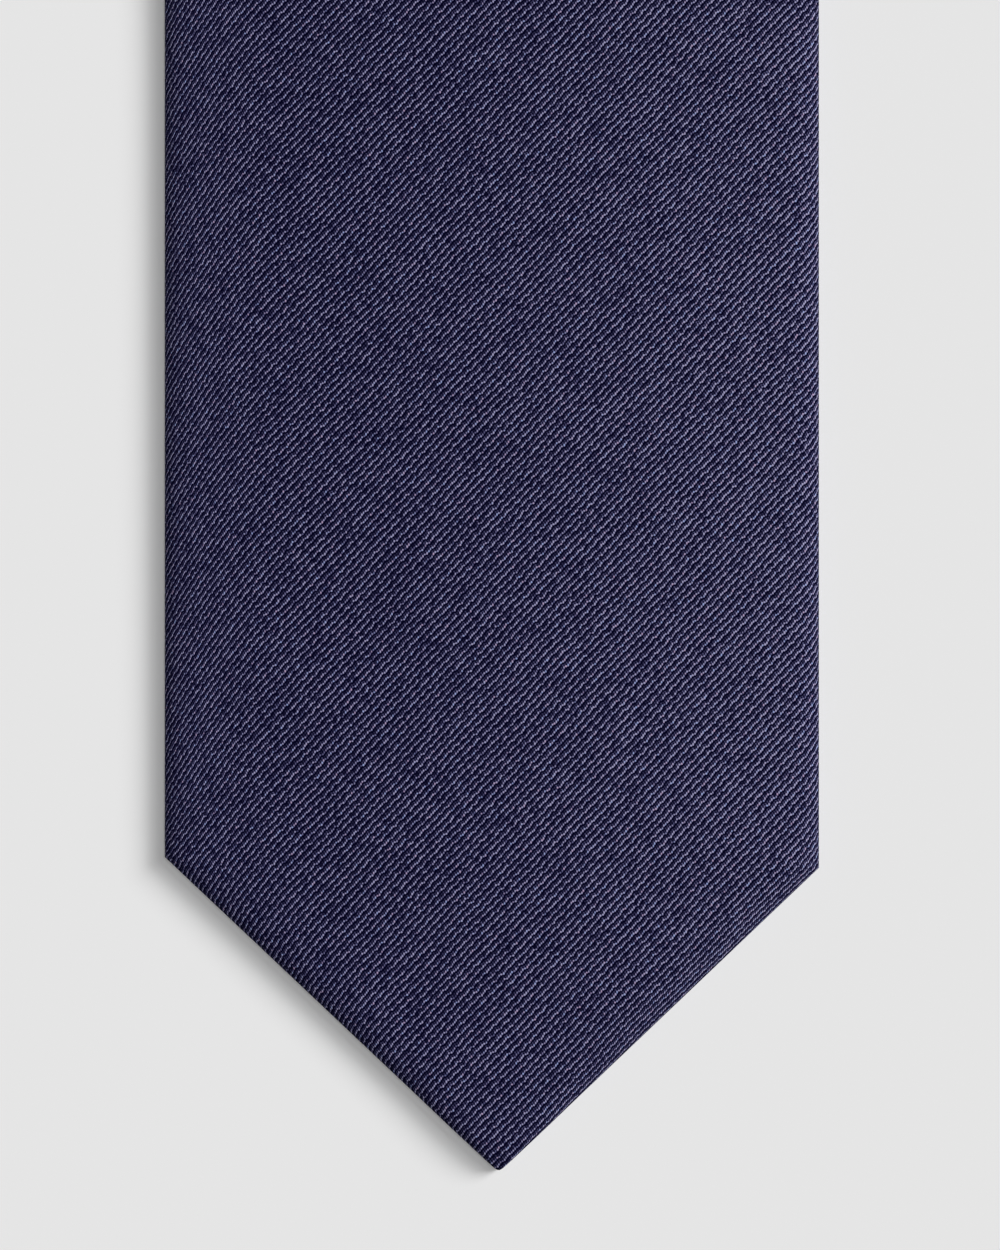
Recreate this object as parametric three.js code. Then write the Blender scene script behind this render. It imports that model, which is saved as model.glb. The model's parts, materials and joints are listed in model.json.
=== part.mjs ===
// A necktie, folded once at the neck and laid down with its wide blade on top, front face up.
// Millimetres. X runs across the tie, Y along it with the wide blade's point at -Y, and Z up.
// Every piece is lofted along one centre line that follows the back of the cloth, from the wide
// blade's point, up a slight ramp on to the tail, round the neck fold and back along the tail.
import * as THREE from 'three';

// Driving dimensions
const tieLength = 1480;
const frontLegLength = 861; // from the wide blade's point to the first bend of the neck fold
const clothThickness = 0.4;
const tieThickness = 3.6;
const layGap = 0.4; // between the tail and the blade that lies on it
const jointGap = 0.3; // between two stretches that bend against each other
const bendGap = 0.7; // the same, where the stretches also slope at rest

// The wide blade and the tail, each measured from its own point
const blade = {
  pointX: 0.9,
  halfWidth: 40,
  leftCorner: 38.2,
  rightCorner: 36.9,
  hem: 9.5,
  hemEnd: 44,
  apex: 88,
  tippingEnd: 128,
};
const tail = {
  pointX: 0,
  halfWidth: 21.5,
  leftCorner: 20.5,
  rightCorner: 20.5,
  hem: 7,
  hemEnd: 25,
  apex: 50,
  tippingEnd: 76,
};
const pointHalfWidth = 0.9;
const pointScale = 0.3; // the cloth is pressed this thin at the very point
const pointScaleEnd = 6;

// Widths between the two blades
const neckHalfWidth = 17;
const bladeParallelEnd = 150;
const neckStart = 800;
const neckEnd = 1010;

// The centre line
const tipRun = 150;
const rampRun = 90;
const linkRun = 3.8;
const foldSlope = THREE.MathUtils.degToRad(6);
const foldTurn = (Math.PI + foldSlope) / 3;
const upperZ = tieThickness + layGap;
const foldDrop = linkRun * (Math.sin(foldTurn - foldSlope) + Math.sin(2 * foldTurn - foldSlope));
const rampSlope = Math.asin(upperZ / rampRun);
const riseRun = (tieThickness + foldDrop - upperZ) / Math.sin(foldSlope);
const upperRun = frontLegLength - tipRun - rampRun - riseRun;

// Heights of the layers above the back surface
const lap = 4; // each back flap passes the centre by this much
const lapStep = 1;
const stitchHeights = [0.6, 0.8];
const tippingHeights = [1.6, 1.8];
const interliningHeights = [2, 3];
const wallClearance = 1.6;
const rollSteps = 6; // facets round each rolled edge

// Joining seams, cut on the slant across the bias
const frontSeam = 772;
const tailSeam = 1120;
const seamHalfGap = 0.5;
const seamThreadHalf = 0.2;

// Labels and loop on the back of the ramp, as distances from the wide blade's point
const careLabel = { from: 168, to: 186, halfWidth: 12, heights: [-0.6, -0.3] };
const blankLabel = { from: 188, to: 204, halfWidth: 24, heights: [-0.6, -0.3] };
const keeper = { from: 208, to: 218, halfWidth: 30, heights: [-1.1, -0.3] };

const silk = { color: 0x0f0e26, roughness: 0.55, metalness: 0 };
const lining = { color: 0x14152f, roughness: 0.4, metalness: 0 };
const wool = { color: 0xd9d3c4, roughness: 0.95, metalness: 0 };
const thread = { color: 0x1b1c38, roughness: 0.6, metalness: 0 };
const ribbon = { color: 0x23243f, roughness: 0.6, metalness: 0 };
const satin = { color: 0xe6e4de, roughness: 0.45, metalness: 0 };

const necktie = new THREE.Group();

// Straight runs of the centre line, joined end to end
function layRuns() {
  const plan = [
    [tipRun, 0],
    [rampRun, rampSlope],
    [upperRun, 0],
    [riseRun, foldSlope],
    [linkRun, foldSlope - foldTurn],
    [linkRun, foldSlope - 2 * foldTurn],
    [tieLength - frontLegLength - 2 * linkRun, -Math.PI],
  ];
  let start = 0;
  let y = 0;
  let z = 0;
  return plan.map(([length, angle]) => {
    const run = { start, end: start + length, angle, y, z };
    start += length;
    y += length * Math.cos(angle);
    z += length * Math.sin(angle);
    return run;
  });
}

const runs = layRuns();
const [tipPart, rampPart, upperPart, risePart, linkOnePart, linkTwoPart, tailPart] = runs;

// A point at distance s along the tie, x across it and h above its back surface
function place(s, x, h) {
  const index = runs.findIndex((run) => s <= run.end + 1e-6);
  const run = runs[index];
  const along = s - run.start;
  const atKink = Math.abs(s - run.end) < 1e-6 && index + 1 < runs.length;
  const angle = atKink ? (run.angle + runs[index + 1].angle) / 2 : run.angle;
  return [
    x,
    run.y + along * Math.cos(run.angle) - h * Math.sin(angle),
    run.z + along * Math.sin(run.angle) + h * Math.cos(angle),
  ];
}

// A closed solid through rings of [x, h] points, each ring at its own station along the tie.
// A station's slant moves its points along the tie in step with x, for a seam on the slant.
function loft(stations, ringAt) {
  const rings = stations.map(({ s }) => ringAt(s));
  const count = rings[0].length;
  const positions = [];
  rings.forEach((ring, i) => {
    const { s, slant = 0 } = stations[i];
    ring.forEach(([x, h]) => positions.push(...place(s + slant * x, x, h)));
  });
  const index = [];
  for (let i = 0; i + 1 < rings.length; i += 1) {
    for (let j = 0; j < count; j += 1) {
      const a = i * count + j;
      const b = i * count + ((j + 1) % count);
      index.push(a, a + count, b, b, a + count, b + count);
    }
  }
  const last = (rings.length - 1) * count;
  capFaces(rings[0]).forEach(([a, b, c]) => index.push(a, b, c));
  capFaces(rings[rings.length - 1]).forEach(([a, b, c]) => index.push(last + a, last + c, last + b));
  const geometry = new THREE.BufferGeometry();
  geometry.setAttribute('position', new THREE.Float32BufferAttribute(positions, 3));
  geometry.setIndex(index);
  geometry.computeVertexNormals();
  return geometry;
}

function capFaces(ring) {
  return THREE.ShapeUtils.triangulateShape(ring.map(([x, h]) => new THREE.Vector2(x, h)), []);
}

function addPiece(name, geometry, finish) {
  const mesh = new THREE.Mesh(geometry, new THREE.MeshStandardMaterial(finish));
  mesh.name = name;
  necktie.add(mesh);
}

// How one end is drawn: which end it is, and how far s lies from its point
function nearestEnd(s) {
  return s < tieLength / 2 ? { end: blade, u: s } : { end: tail, u: tieLength - s };
}

function bodyHalfWidth(s) {
  const narrowing = THREE.MathUtils.smoothstep(s, bladeParallelEnd, neckStart);
  const widening = THREE.MathUtils.smoothstep(s, neckEnd, tieLength - tail.leftCorner);
  return blade.halfWidth
    + (neckHalfWidth - blade.halfWidth) * narrowing
    + (tail.halfWidth - neckHalfWidth) * widening;
}

// Left and right edges of the outline at s, drawn in by inset
function edges(s, inset = 0) {
  const { end, u } = nearestEnd(s);
  const full = bodyHalfWidth(s);
  const left = THREE.MathUtils.lerp(end.pointX - pointHalfWidth, -full, Math.min(1, u / end.leftCorner));
  const right = THREE.MathUtils.lerp(end.pointX + pointHalfWidth, full, Math.min(1, u / end.rightCorner));
  return [left + inset, right - inset];
}

// Where the two back flaps end: short hems by the point, an open V above them, lapped past its apex
function flapEnds(s) {
  const { end, u } = nearestEnd(s);
  const [left, right] = edges(s);
  if (u > end.apex) {
    return { leftEnd: lap, rightEnd: -lap };
  }
  if (u > end.hemEnd) {
    const open = ((end.halfWidth - end.hem) * (end.apex - u)) / (end.apex - end.hemEnd);
    return { leftEnd: -open, rightEnd: open };
  }
  const middle = pointHalfWidth / 6 + u / 12;
  return {
    leftEnd: Math.min(end.pointX - middle, left + end.hem),
    rightEnd: Math.max(end.pointX + middle, right - end.hem),
  };
}

// The folded cloth in section: both flaps, both rolled edges and the face, as one thin wall
function shellRing(s) {
  const { end, u } = nearestEnd(s);
  const scale = THREE.MathUtils.lerp(pointScale, 1, Math.min(1, u / pointScaleEnd));
  const [left, right] = edges(s);
  const { leftEnd, rightEnd } = flapEnds(s);
  const lapped = u > end.apex - 4;
  const wall = clothThickness * scale;
  const roll = (tieThickness * scale) / 2;
  const flap = leftEnd - left - roll;
  const stepStart = lapped ? -lap - 3 : leftEnd - 0.4 * flap;
  const stepEnd = lapped ? -lap - 1.5 : leftEnd - 0.3 * flap;
  const raised = wall / 2 + (lapped ? lapStep : 0);
  const middle = [[rightEnd, wall / 2]];
  for (let i = 0; i <= rollSteps; i += 1) {
    const turn = -Math.PI / 2 + (Math.PI * i) / rollSteps;
    const radius = roll - wall / 2;
    middle.push([right - roll + radius * Math.cos(turn), roll + radius * Math.sin(turn)]);
  }
  for (let i = 0; i <= rollSteps; i += 1) {
    const turn = Math.PI / 2 + (Math.PI * i) / rollSteps;
    const radius = roll - wall / 2;
    middle.push([left + roll + radius * Math.cos(turn), roll + radius * Math.sin(turn)]);
  }
  middle.push([stepStart, wall / 2], [stepEnd, raised], [leftEnd, raised]);
  return thicken(middle, wall / 2);
}

// Both sides of an open line of points, as one closed outline
function thicken(line, half) {
  const outer = [];
  const inner = [];
  line.forEach(([x, h], i) => {
    const [x0, h0] = line[Math.max(0, i - 1)];
    const [x1, h1] = line[Math.min(line.length - 1, i + 1)];
    const reach = Math.hypot(x1 - x0, h1 - h0);
    const across = [(h1 - h0) / reach, -(x1 - x0) / reach];
    outer.push([x + across[0] * half, h + across[1] * half]);
    inner.unshift([x - across[0] * half, h - across[1] * half]);
  });
  return [...outer, ...inner];
}

function plateRing(left, right, [low, high]) {
  return [[left, low], [right, low], [right, high], [left, high]];
}

// Stations that a long piece needs: where its outline or its centre line changes
const blockEnds = (end) => [
  pointScaleEnd, end.rightCorner, end.leftCorner, end.hemEnd, end.apex - 12, end.apex - 3, end.apex + 7,
];
const taperSteps = Array.from({ length: 14 }, (_, i) => bladeParallelEnd + 50 * i);
const marks = [
  ...blockEnds(blade),
  ...taperSteps,
  upperPart.end,
  ...[1060, 1180, 1240, 1300, 1360, 1400],
  ...blockEnds(tail).reverse().map((u) => tieLength - u),
];

function stationsBetween(from, to, clearFrom = 1, clearTo = 1) {
  const inside = marks.filter((mark) => mark > from + clearFrom && mark < to - clearTo);
  return [...new Set(inside)].map((s) => ({ s }));
}

// A stretch of shell. Either end may be cut on the slant, for a joining seam.
function addShell(name, from, to, { slantFrom = 0, slantTo = 0 } = {}) {
  const clearOf = (slant) => 1 + 1.2 * neckHalfWidth * slant;
  const stations = [
    { s: from, slant: slantFrom },
    ...stationsBetween(from, to, clearOf(slantFrom), clearOf(slantTo)),
    { s: to, slant: slantTo },
  ];
  addPiece(name, loft(stations, shellRing), silk);
}

// Interlining and tipping keep inside the shell and come to a point of their own
function insetEdges(s, pointStart) {
  const { end, u } = nearestEnd(s);
  const [left, right] = edges(s, wallClearance);
  const cornerInside = end.leftCorner + 2;
  if (u >= cornerInside) {
    return [left, right];
  }
  const share = (u - pointStart) / (cornerInside - pointStart);
  const reach = THREE.MathUtils.lerp(pointHalfWidth, end.halfWidth - wallClearance, share);
  const centre = THREE.MathUtils.lerp(end.pointX, 0, share);
  return [centre - reach, centre + reach];
}

function addInner(name, from, to, heights, finish) {
  const corners = [blade.leftCorner + 2, tieLength - tail.leftCorner - 2];
  const stations = [{ s: from }, ...stationsBetween(from, to), { s: to }];
  corners.filter((s) => s > from && s < to).forEach((s) => stations.push({ s }));
  stations.sort((a, b) => a.s - b.s);
  const ringAt = (s) => plateRing(...insetEdges(s, pointScaleEnd + 2), heights);
  addPiece(name, loft(stations, ringAt), finish);
}

// A flat strip of even width
function addStrip(name, from, to, left, right, heights, finish) {
  const stations = [{ s: from }, ...stationsBetween(from, to), { s: to }];
  addPiece(name, loft(stations, () => plateRing(left, right, heights)), finish);
}

// Stretches that bend against each other, each a body of its own
const bendHalf = bendGap / 2;
const jointHalf = jointGap / 2;
const stretches = [
  { name: 'tip', from: 0, to: tipPart.end - bendHalf },
  { name: 'bend', from: tipPart.end + bendHalf, to: rampPart.end - bendHalf },
  { name: 'upper', from: rampPart.end + bendHalf, to: risePart.end - jointHalf },
  { name: 'fold_1', from: linkOnePart.start + jointHalf, to: linkOnePart.end - jointHalf },
  { name: 'fold_2', from: linkTwoPart.start + jointHalf, to: linkTwoPart.end - jointHalf },
  { name: 'tail', from: tailPart.start + jointHalf, to: tieLength },
];
const [tipStretch, bendStretch, upperStretch, foldOne, foldTwo, tailStretch] = stretches;

function addShells() {
  const slant = { slantFrom: 1 };
  addShell('front_panel_tip', tipStretch.from, tipStretch.to);
  addShell('front_panel_bend', bendStretch.from, bendStretch.to);
  addShell('front_panel_upper', upperStretch.from, frontSeam - seamHalfGap, { slantTo: 1 });
  addShell('neck_panel_upper', frontSeam + seamHalfGap, upperStretch.to, slant);
  addShell('neck_panel_fold_1', foldOne.from, foldOne.to);
  addShell('neck_panel_fold_2', foldTwo.from, foldTwo.to);
  addShell('neck_panel_lower', tailStretch.from, tailSeam - seamHalfGap, { slantTo: 1 });
  addShell('tail_panel', tailSeam + seamHalfGap, tieLength, slant);
}

// One thread along each joining seam, in the gap between the two panels' faces
function addSeamThreads() {
  [['front_seam_thread', frontSeam], ['tail_seam_thread', tailSeam]].forEach(([name, at]) => {
    const [left, right] = edges(at, tieThickness / 2);
    const ring = plateRing(left, right, [tieThickness - clothThickness, tieThickness]);
    const stations = [{ s: at - seamThreadHalf, slant: 1 }, { s: at + seamThreadHalf, slant: 1 }];
    addPiece(name, loft(stations, () => ring), thread);
  });
}

function addInterlinings() {
  const pointClear = pointScaleEnd + 2;
  stretches.forEach(({ name, from, to }) => {
    const start = Math.max(from, pointClear);
    const stop = Math.min(to, tieLength - pointClear);
    addInner(`interlining_${name}`, start, stop, interliningHeights, wool);
  });
}

function addTippings() {
  const start = pointScaleEnd + 2;
  addInner('front_tipping', start, blade.tippingEnd, tippingHeights, lining);
  addInner('tail_tipping', tieLength - tail.tippingEnd, tieLength - start, tippingHeights, lining);
}

// The slip stitch runs between the lapped flaps, from one bar tack to the other
function addSlipStitches() {
  const start = blade.apex + 8;
  const stop = tieLength - tail.apex - 8;
  stretches.forEach(({ name, from, to }) => {
    const low = Math.max(from, start);
    const high = Math.min(to, stop);
    addStrip(`slip_stitch_${name}`, low, high, -0.15, 0.15, stitchHeights, thread);
  });
}

function addBarTacks() {
  const heights = [0.05, 0.45];
  const frontAt = blade.apex - 6;
  const tailAt = tieLength - tail.apex + 5;
  addStrip('front_bar_tack', frontAt, frontAt + 1.2, -2.6, 2.6, heights, thread);
  addStrip('tail_bar_tack', tailAt, tailAt + 1, -1.7, 1.7, heights, thread);
}

// The slip stitch's spare loop, left hanging inside the open V of the wide blade
function addSlackLoop() {
  const top = blade.apex - 7;
  const route = [[-0.8, top], [-2, top - 4], [-1.6, top - 8], [0, top - 9.5], [1.6, top - 8], [2, top - 4], [0.8, top]];
  const points = route.map(([x, s]) => new THREE.Vector3(...place(s, x, 0.8)));
  const section = new THREE.Shape().absarc(0, 0, 0.15, 0, 2 * Math.PI, false);
  const settings = { extrudePath: new THREE.CatmullRomCurve3(points), steps: 24, curveSegments: 4 };
  addPiece('slack_loop', new THREE.ExtrudeGeometry(section, { ...settings, bevelEnabled: false }), thread);
}

// A blank label and the loop that takes the tail, each sewn down at both ends
function addLabelAndKeeper() {
  addStrip('care_label', careLabel.from, careLabel.to, -careLabel.halfWidth, careLabel.halfWidth,
    careLabel.heights, satin);
  [['blank_label', blankLabel, ribbon], ['keeper_loop', keeper, silk]].forEach(([name, piece, finish]) => {
    const { from, to, halfWidth, heights } = piece;
    addStrip(name, from, to, -halfWidth, halfWidth, heights, finish);
    [['left', -1], ['right', 1]].forEach(([side, sign]) => {
      const inner = sign * (halfWidth + 0.3);
      const outer = sign * (halfWidth + 1.1);
      const across = [Math.min(inner, outer), Math.max(inner, outer)];
      addStrip(`${name}_stitch_${side}`, from + 1, to - 1, ...across, [-0.6, -0.3], thread);
    });
  });
}

// Bend axes, all along X. A fold closes on its inner side, so each axis lies on that surface.
function hingeAxes(shift) {
  const at = (s, h) => place(s, 0, h).map((value, i) => (i === 1 ? value + shift : value));
  return {
    blade_bend_upper: at(rampPart.end, tieThickness),
    blade_bend_lower: at(tipPart.end, tieThickness),
    care_label_flap: at(careLabel.to, (careLabel.heights[0] + careLabel.heights[1]) / 2),
    neck_fold_upper: at(risePart.end, 0),
    neck_fold_middle: at(linkOnePart.end, 0),
    neck_fold_lower: at(linkTwoPart.end, 0),
  };
}

addShells();
addSeamThreads();
addInterlinings();
addTippings();
addSlipStitches();
addBarTacks();
addSlackLoop();
addLabelAndKeeper();

// The origin goes under the middle of the whole tie
const extent = new THREE.Box3().setFromObject(necktie);
necktie.position.y = -(extent.min.y + extent.max.y) / 2;
necktie.userData.hinges = hingeAxes(necktie.position.y);

export default necktie;
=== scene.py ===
import json
import math

import bpy
import numpy as np
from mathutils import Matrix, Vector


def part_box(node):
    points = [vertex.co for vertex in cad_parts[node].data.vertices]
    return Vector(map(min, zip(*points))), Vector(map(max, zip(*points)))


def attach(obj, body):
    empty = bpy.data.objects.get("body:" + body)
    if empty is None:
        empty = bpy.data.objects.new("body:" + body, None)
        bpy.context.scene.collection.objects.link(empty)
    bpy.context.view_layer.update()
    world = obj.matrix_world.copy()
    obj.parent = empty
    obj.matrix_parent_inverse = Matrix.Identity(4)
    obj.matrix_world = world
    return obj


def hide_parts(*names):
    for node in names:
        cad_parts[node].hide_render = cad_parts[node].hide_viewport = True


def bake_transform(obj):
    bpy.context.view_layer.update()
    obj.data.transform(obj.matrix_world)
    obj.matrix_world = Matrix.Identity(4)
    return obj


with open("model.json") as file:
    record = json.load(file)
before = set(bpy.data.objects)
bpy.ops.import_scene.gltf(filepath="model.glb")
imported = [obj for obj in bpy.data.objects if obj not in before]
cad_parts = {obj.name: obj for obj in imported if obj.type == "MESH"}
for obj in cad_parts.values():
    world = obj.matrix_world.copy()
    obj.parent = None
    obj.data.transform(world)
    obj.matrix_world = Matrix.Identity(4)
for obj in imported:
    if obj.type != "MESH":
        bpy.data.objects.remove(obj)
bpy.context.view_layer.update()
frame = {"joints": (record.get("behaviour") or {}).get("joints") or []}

mm = 0.001
joints = {joint["name"]: joint["pos_m"] for joint in frame["joints"]}
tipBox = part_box("front_panel_tip")
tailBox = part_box("tail_panel")
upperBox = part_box("front_panel_upper")

# Camera, floor and light
shot = {
    "lens": 100,
    "sensor": 36,
    "viewHeight": 152.24 * mm,  # what the frame takes in at the height of the blade's face
    "rightOfCentre": 0.99 * mm,
    "abovePoint": 66.72 * mm,
}
studio = {
    "floorColour": (0.8, 0.8, 0.8),
    "floorSize": 200,
    "lamps": {
        "low": {"strength": 2.34, "softness": 27.4, "azimuth": 26.2, "elevation": 35.3},
        "middle": {"strength": 0.48, "softness": 16, "azimuth": 26.2, "elevation": 56.3},
        "top": {"strength": 1.24, "softness": 21.2, "azimuth": 26.2, "elevation": 84.7},
    },
    "skyColour": (1, 1, 1),
    "skyStrength": 0.03,
}


def setCamera():
    lens = bpy.data.cameras.new("camera")
    lens.lens = shot["lens"]
    lens.sensor_width = shot["sensor"]
    lens.clip_start = 0.01
    camera = bpy.data.objects.new("camera", lens)
    bpy.context.scene.collection.objects.link(camera)
    distance = shot["viewHeight"] * shot["lens"] / shot["sensor"]
    camera.location = (shot["rightOfCentre"], tipBox[0].y + shot["abovePoint"], tipBox[1].z + distance)
    bpy.context.scene.camera = camera


def setStudio():
    bpy.ops.mesh.primitive_plane_add(size=studio["floorSize"], location=(0, 0, 0))
    floor = bpy.context.object
    floor.name = "floor"
    paint = bpy.data.materials.new("floorPaint")
    paint.use_nodes = True
    principled = paint.node_tree.nodes["Principled BSDF"]
    principled.inputs["Base Color"].default_value = (*studio["floorColour"], 1)
    principled.inputs["Roughness"].default_value = 1
    principled.inputs["Specular IOR Level"].default_value = 0
    floor.data.materials.append(paint)
    for name, lamp in studio["lamps"].items():
        sun = bpy.data.lights.new(name, "SUN")
        sun.energy = lamp["strength"]
        sun.angle = math.radians(lamp["softness"])
        hung = bpy.data.objects.new(name, sun)
        bpy.context.scene.collection.objects.link(hung)
        hung.rotation_euler = (0, math.radians(90 - lamp["elevation"]), math.radians(lamp["azimuth"]))
    world = bpy.data.worlds.new("sky")
    world.use_nodes = True
    background = world.node_tree.nodes["Background"]
    background.inputs["Color"].default_value = (*studio["skyColour"], 1)
    background.inputs["Strength"].default_value = studio["skyStrength"]
    bpy.context.scene.world = world
    bpy.context.scene.view_settings.view_transform = "Standard"


print("camera and light")
bpy.ops.object.select_all(action="DESELECT")
setCamera()
setStudio()


# Shader maths: a wrapped socket, on which sums are written as ordinary expressions
class Flow:
    def __init__(self, tree, socket):
        self.tree = tree
        self.socket = socket

    def node(self, kind, settings=None, values=None, output=0):
        made = self.tree.nodes.new(kind)
        for name, value in (settings or {}).items():
            setattr(made, name, value)
        for name, value in (values or {}).items():
            if isinstance(value, Flow):
                self.tree.links.new(value.socket, made.inputs[name])
            else:
                made.inputs[name].default_value = value
        return Flow(self.tree, made.outputs[output])

    def maths(self, operation, *others):
        values = {place: value for place, value in enumerate((self, *others))}
        return self.node("ShaderNodeMath", {"operation": operation}, values)

    def __add__(self, other):
        return self.maths("ADD", other)

    def __radd__(self, other):
        return self.maths("ADD", other)

    def __sub__(self, other):
        return self.maths("SUBTRACT", other)

    def __rsub__(self, other):
        return (self * -1) + other

    def __mul__(self, other):
        return self.maths("MULTIPLY", other)

    def __rmul__(self, other):
        return self.maths("MULTIPLY", other)

    def __pow__(self, other):
        return self.maths("POWER", other)

    def clamp(self):
        return self.maths("MINIMUM", 1).maths("MAXIMUM", 0)

    def mixed(self, first, second):
        values = {"Factor": self, "A": first, "B": second}
        return self.node("ShaderNodeMix", {"data_type": "RGBA"}, values, 2)


# A material's first half: the shader's own values, and the place on the cloth in millimetres
def startMaterial(name, roughness, specular, sheen=0.0, sheenRoughness=0.5):
    material = bpy.data.materials.new(name)
    material.use_nodes = True
    tree = material.node_tree
    principled = tree.nodes["Principled BSDF"]
    principled.inputs["Roughness"].default_value = roughness
    principled.inputs["Specular IOR Level"].default_value = specular
    principled.inputs["Sheen Weight"].default_value = sheen
    principled.inputs["Sheen Roughness"].default_value = sheenRoughness
    layer = Flow(tree, None).node("ShaderNodeUVMap", {"uv_map": "cloth"})
    place = layer.node("ShaderNodeVectorMath", {"operation": "SCALE"}, {0: layer, "Scale": 1 / mm})
    return material, principled, place


def splitAxes(vector):
    x = vector.node("ShaderNodeSeparateXYZ", {}, {0: vector})
    return x, Flow(x.tree, x.socket.node.outputs[1])


def noiseOn(vector, scale, detail=2.0):
    values = {"Vector": vector, "Scale": scale, "Detail": detail}
    return vector.node("ShaderNodeTexNoise", {"noise_dimensions": "2D"}, values)


def stripes(along, pitch):
    return (along * (2 * math.pi / pitch)).maths("SINE") * 0.5 + 0.5


def bumpOf(height, strength, distance):
    return height.node("ShaderNodeBump", {}, {"Height": height, "Strength": strength, "Distance": distance})


def link(flow, socket):
    flow.tree.links.new(flow.socket, socket)


# Silk twill: diagonal ribs that wind a little, each a row of yarn ends, with a painted shade in the grooves
# between and a painted highlight on the crests
twill = {
    "rib": (0.9796, -0.9551),  # turns per millimetre across and along the cloth
    "sway": (0.5633, 0.5729),
    "drift": {"scale": 0.09, "rib": 0.55, "sway": 0.3},  # slow wander of the whole weave
    "waver": {"scale": 0.9, "rib": 0.13, "sway": 0.05},
    "swayDepth": 0.066,
    "swayStep": 0.036,
    "yarnsPerSway": 4,
    "ribDepth": 0.81,
    "ribSharp": 0.68,
    "sharpTurn": -0.163,
    "yarnDepth": 0.51,
    "yarnSlant": 0.236,
    "yarnBack": 0.034,
    "yarnShift": 0.11,  # how far a yarn end strays across its rib
    "brightness": 0.2025,
    "uneven": 0.44,
    "grain": {"scale": 2.6, "depth": 0.85},
    "cloud": {"scale": 0.7, "depth": 0.06},
    "toe": 0.03,
    "contrast": 2.95,
    "cover": 4.74,
    # painted shade: the near-black colour of the grooves between the ribs
    "groove": (0.0003, 0.0002, 0.0092, 1),
    "grooveRoughness": 0.9,
    # crest colours: the yarn's deep navy, greyed where a crest stands highest, which is a painted sheen; the
    # flecks are the yarn's own
    "crestDeep": (0.30, 0.287, 0.75, 1),
    "crest": (0.33, 0.317, 0.485, 1),
    "crestReach": 1.6,
    "fleckBlue": (0.27, 0.34, 0.60, 1),
    "fleckRed": (0.40, 0.29, 0.44, 1),
    "fleck": {"scale": 2.2, "blueAbove": 0.62, "redBelow": 0.36, "sharp": 12},
    # painted light: how much brighter the cloth's colour is made towards its right side, and where that fades
    # along the tie
    "rightGain": {"width": 80, "depth": 0.11, "middle": 0.55, "fadeStart": 150, "fade": 250},  # lengths in mm
    "roughness": 0.62,
    "specular": 0.12,
    "sheen": {"Sheen Weight": 0.15, "Sheen Roughness": 0.35, "Sheen Tint": (0.8, 0.8, 1, 1)},
    "bump": (0.2, 0.06 * mm),
}


def wave(turns):
    return (turns * (2 * math.pi)).maths("COSINE")


def chanceIn(column, row):
    cell = column.node("ShaderNodeCombineXYZ", {}, {0: column, 1: row, 2: 0.0})
    return column.node("ShaderNodeTexWhiteNoise", {"noise_dimensions": "2D"}, {"Vector": cell})


def ribHeight(rib, yarn):
    ribs = wave(rib) * twill["ribDepth"] + wave(rib * 2 + twill["sharpTurn"]) * twill["ribSharp"]
    yarns = wave(yarn) * twill["yarnDepth"] + wave(yarn + rib) * twill["yarnSlant"]
    return ribs + yarns + wave(yarn - rib) * twill["yarnBack"]


# Painted light from the right: the cloth's colour is made a little brighter towards its right side, near the
# wide blade's end
def paintedLightAcross(x, y):
    paintedGain = twill["rightGain"]
    across = (x * (1 / paintedGain["width"]) + 0.5).clamp()
    nearBlade = (paintedGain["fadeStart"] / paintedGain["fade"] + 1 - y * (1 / paintedGain["fade"])).clamp()
    return (across * across * nearBlade * 2 - paintedGain["middle"]) * paintedGain["depth"] + 1


# A crest's colour: the yarn's flecked navy, greyed towards a painted sheen where the ribs stand highest
def crestTint(place, share):
    limits = twill["fleck"]
    fleck = noiseOn(place, limits["scale"], 1)
    blueShare = ((fleck - limits["blueAbove"]) * limits["sharp"]).clamp()
    redShare = ((limits["redBelow"] - fleck) * limits["sharp"]).clamp()
    flecked = redShare.mixed(blueShare.mixed(twill["crest"], twill["fleckBlue"]), twill["fleckRed"])
    return (share * twill["crestReach"]).clamp().mixed(twill["crestDeep"], flecked)


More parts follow.
